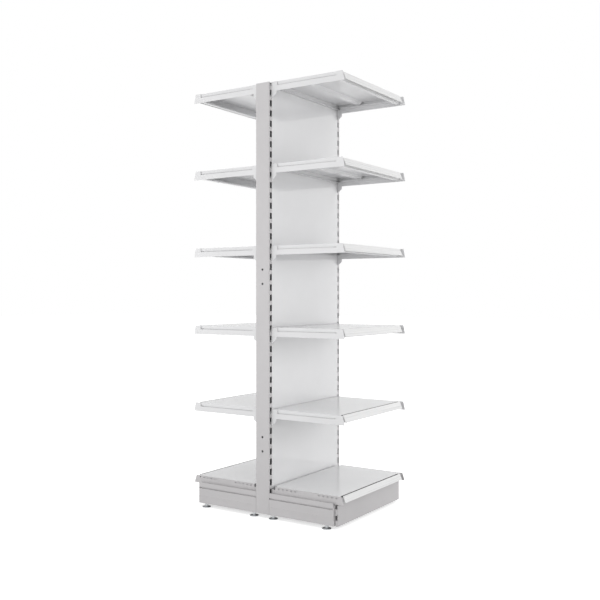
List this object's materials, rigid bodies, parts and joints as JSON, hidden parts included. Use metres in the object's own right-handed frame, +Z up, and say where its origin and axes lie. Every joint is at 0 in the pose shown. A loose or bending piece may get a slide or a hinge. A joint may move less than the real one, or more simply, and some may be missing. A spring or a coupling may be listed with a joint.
{
  "type": "gondola shelving unit",
  "caption": "Free-standing double-sided shop gondola: slotted uprights, back panels, hook-in bracket shelves with price rails, and a base on levelling feet.",
  "frame": {"origin": "on the floor under the middle of the bay, between the two uprights", "axes": "+X along the bay to its right end, +Y across it to the rear side, +Z up"},
  "size_m": [0.6924, 0.906, 2.132],
  "materials": {
    "grey_steel": "satin powder coat",
    "white_steel": "gloss powder coat",
    "cap_plastic": "moulded",
    "white_pvc": "extruded",
    "zinc_steel": "zinc plated"
  },
  "bodies": {
    "frame": {"left_upright": "grey_steel", "right_upright": "grey_steel", "left_upright_cap": "cap_plastic", "right_upright_cap": "cap_plastic", "lower_crossbar": "grey_steel", "middle_crossbar": "grey_steel", "crossbar_bolts": "zinc_steel", "front_back_panel": "white_steel", "rear_back_panel": "white_steel", "front_left_base_leg": "grey_steel", "front_right_base_leg": "grey_steel", "rear_left_base_leg": "grey_steel", "rear_right_base_leg": "grey_steel", "foot_lock_nuts": "zinc_steel"},
    "front_left_inner_foot": {"front_left_inner_foot": "zinc_steel"},
    "front_left_outer_foot": {"front_left_outer_foot": "zinc_steel"},
    "front_right_inner_foot": {"front_right_inner_foot": "zinc_steel"},
    "front_right_outer_foot": {"front_right_outer_foot": "zinc_steel"},
    "rear_left_inner_foot": {"rear_left_inner_foot": "zinc_steel"},
    "rear_left_outer_foot": {"rear_left_outer_foot": "zinc_steel"},
    "rear_right_inner_foot": {"rear_right_inner_foot": "zinc_steel"},
    "rear_right_outer_foot": {"rear_right_outer_foot": "zinc_steel"},
    "front_kick_plate": {"front_kick_plate": "grey_steel"},
    "rear_kick_plate": {"rear_kick_plate": "grey_steel"},
    "front_base_deck": {"front_base_deck": "white_steel", "front_base_price_rail": "white_pvc"},
    "rear_base_deck": {"rear_base_deck": "white_steel", "rear_base_price_rail": "white_pvc"},
    "front_brackets_1": {"front_brackets_1": "white_steel"},
    "front_brackets_2": {"front_brackets_2": "white_steel"},
    "front_brackets_3": {"front_brackets_3": "white_steel"},
    "front_brackets_4": {"front_brackets_4": "white_steel"},
    "front_brackets_5": {"front_brackets_5": "white_steel"},
    "front_shelf_1": {"front_shelf_1": "white_steel", "front_price_rail_1": "white_pvc"},
    "front_shelf_2": {"front_shelf_2": "white_steel", "front_price_rail_2": "white_pvc"},
    "front_shelf_3": {"front_shelf_3": "white_steel", "front_price_rail_3": "white_pvc"},
    "front_shelf_4": {"front_shelf_4": "white_steel", "front_price_rail_4": "white_pvc"},
    "front_shelf_5": {"front_shelf_5": "white_steel", "front_price_rail_5": "white_pvc"},
    "rear_brackets_1": {"rear_brackets_1": "white_steel"},
    "rear_brackets_2": {"rear_brackets_2": "white_steel"},
    "rear_brackets_3": {"rear_brackets_3": "white_steel"},
    "rear_brackets_4": {"rear_brackets_4": "white_steel"},
    "rear_brackets_5": {"rear_brackets_5": "white_steel"},
    "rear_shelf_1": {"rear_shelf_1": "white_steel", "rear_price_rail_1": "white_pvc"},
    "rear_shelf_2": {"rear_shelf_2": "white_steel", "rear_price_rail_2": "white_pvc"},
    "rear_shelf_3": {"rear_shelf_3": "white_steel", "rear_price_rail_3": "white_pvc"},
    "rear_shelf_4": {"rear_shelf_4": "white_steel", "rear_price_rail_4": "white_pvc"},
    "rear_shelf_5": {"rear_shelf_5": "white_steel", "rear_price_rail_5": "white_pvc"}
  },
  "joints": [
    {"name": "front_left_inner_foot_screw", "type": "slide", "parent": "frame", "child": "front_left_inner_foot", "axis": [0, 0, 1], "range_m": [-0.02, 0]},
    {"name": "front_left_outer_foot_screw", "type": "slide", "parent": "frame", "child": "front_left_outer_foot", "axis": [0, 0, 1], "range_m": [-0.02, 0]},
    {"name": "front_right_inner_foot_screw", "type": "slide", "parent": "frame", "child": "front_right_inner_foot", "axis": [0, 0, 1], "range_m": [-0.02, 0]},
    {"name": "front_right_outer_foot_screw", "type": "slide", "parent": "frame", "child": "front_right_outer_foot", "axis": [0, 0, 1], "range_m": [-0.02, 0]},
    {"name": "rear_left_inner_foot_screw", "type": "slide", "parent": "frame", "child": "rear_left_inner_foot", "axis": [0, 0, 1], "range_m": [-0.02, 0]},
    {"name": "rear_left_outer_foot_screw", "type": "slide", "parent": "frame", "child": "rear_left_outer_foot", "axis": [0, 0, 1], "range_m": [-0.02, 0]},
    {"name": "rear_right_inner_foot_screw", "type": "slide", "parent": "frame", "child": "rear_right_inner_foot", "axis": [0, 0, 1], "range_m": [-0.02, 0]},
    {"name": "rear_right_outer_foot_screw", "type": "slide", "parent": "frame", "child": "rear_right_outer_foot", "axis": [0, 0, 1], "range_m": [-0.02, 0]},
    {"name": "front_kick_plate_pull", "type": "slide", "parent": "frame", "child": "front_kick_plate", "axis": [0, -1, 0], "range_m": [0, 0.08]},
    {"name": "rear_kick_plate_pull", "type": "slide", "parent": "frame", "child": "rear_kick_plate", "axis": [0, 1, 0], "range_m": [0, 0.08]},
    {"name": "front_base_deck_lift", "type": "slide", "parent": "frame", "child": "front_base_deck", "axis": [0, 0, 1], "range_m": [0, 0.1]},
    {"name": "rear_base_deck_lift", "type": "slide", "parent": "frame", "child": "rear_base_deck", "axis": [0, 0, 1], "range_m": [0, 0.1]},
    {"name": "front_brackets_1_unhook", "type": "slide", "parent": "frame", "child": "front_brackets_1", "axis": [0, 0, 1], "range_m": [0, 0.012]},
    {"name": "front_brackets_2_unhook", "type": "slide", "parent": "frame", "child": "front_brackets_2", "axis": [0, 0, 1], "range_m": [0, 0.012]},
    {"name": "front_brackets_3_unhook", "type": "slide", "parent": "frame", "child": "front_brackets_3", "axis": [0, 0, 1], "range_m": [0, 0.012]},
    {"name": "front_brackets_4_unhook", "type": "slide", "parent": "frame", "child": "front_brackets_4", "axis": [0, 0, 1], "range_m": [0, 0.012]},
    {"name": "front_brackets_5_unhook", "type": "slide", "parent": "frame", "child": "front_brackets_5", "axis": [0, 0, 1], "range_m": [0, 0.012]},
    {"name": "front_shelf_1_lift", "type": "slide", "parent": "front_brackets_1", "child": "front_shelf_1", "axis": [0, 0, 1], "range_m": [0, 0.12]},
    {"name": "front_shelf_2_lift", "type": "slide", "parent": "front_brackets_2", "child": "front_shelf_2", "axis": [0, 0, 1], "range_m": [0, 0.12]},
    {"name": "front_shelf_3_lift", "type": "slide", "parent": "front_brackets_3", "child": "front_shelf_3", "axis": [0, 0, 1], "range_m": [0, 0.12]},
    {"name": "front_shelf_4_lift", "type": "slide", "parent": "front_brackets_4", "child": "front_shelf_4", "axis": [0, 0, 1], "range_m": [0, 0.12]},
    {"name": "front_shelf_5_lift", "type": "slide", "parent": "front_brackets_5", "child": "front_shelf_5", "axis": [0, 0, 1], "range_m": [0, 0.12]},
    {"name": "rear_brackets_1_unhook", "type": "slide", "parent": "frame", "child": "rear_brackets_1", "axis": [0, 0, 1], "range_m": [0, 0.012]},
    {"name": "rear_brackets_2_unhook", "type": "slide", "parent": "frame", "child": "rear_brackets_2", "axis": [0, 0, 1], "range_m": [0, 0.012]},
    {"name": "rear_brackets_3_unhook", "type": "slide", "parent": "frame", "child": "rear_brackets_3", "axis": [0, 0, 1], "range_m": [0, 0.012]},
    {"name": "rear_brackets_4_unhook", "type": "slide", "parent": "frame", "child": "rear_brackets_4", "axis": [0, 0, 1], "range_m": [0, 0.012]},
    {"name": "rear_brackets_5_unhook", "type": "slide", "parent": "frame", "child": "rear_brackets_5", "axis": [0, 0, 1], "range_m": [0, 0.012]},
    {"name": "rear_shelf_1_lift", "type": "slide", "parent": "rear_brackets_1", "child": "rear_shelf_1", "axis": [0, 0, 1], "range_m": [0, 0.12]},
    {"name": "rear_shelf_2_lift", "type": "slide", "parent": "rear_brackets_2", "child": "rear_shelf_2", "axis": [0, 0, 1], "range_m": [0, 0.12]},
    {"name": "rear_shelf_3_lift", "type": "slide", "parent": "rear_brackets_3", "child": "rear_shelf_3", "axis": [0, 0, 1], "range_m": [0, 0.12]},
    {"name": "rear_shelf_4_lift", "type": "slide", "parent": "rear_brackets_4", "child": "rear_shelf_4", "axis": [0, 0, 1], "range_m": [0, 0.12]},
    {"name": "rear_shelf_5_lift", "type": "slide", "parent": "rear_brackets_5", "child": "rear_shelf_5", "axis": [0, 0, 1], "range_m": [0, 0.12]}
  ]
}
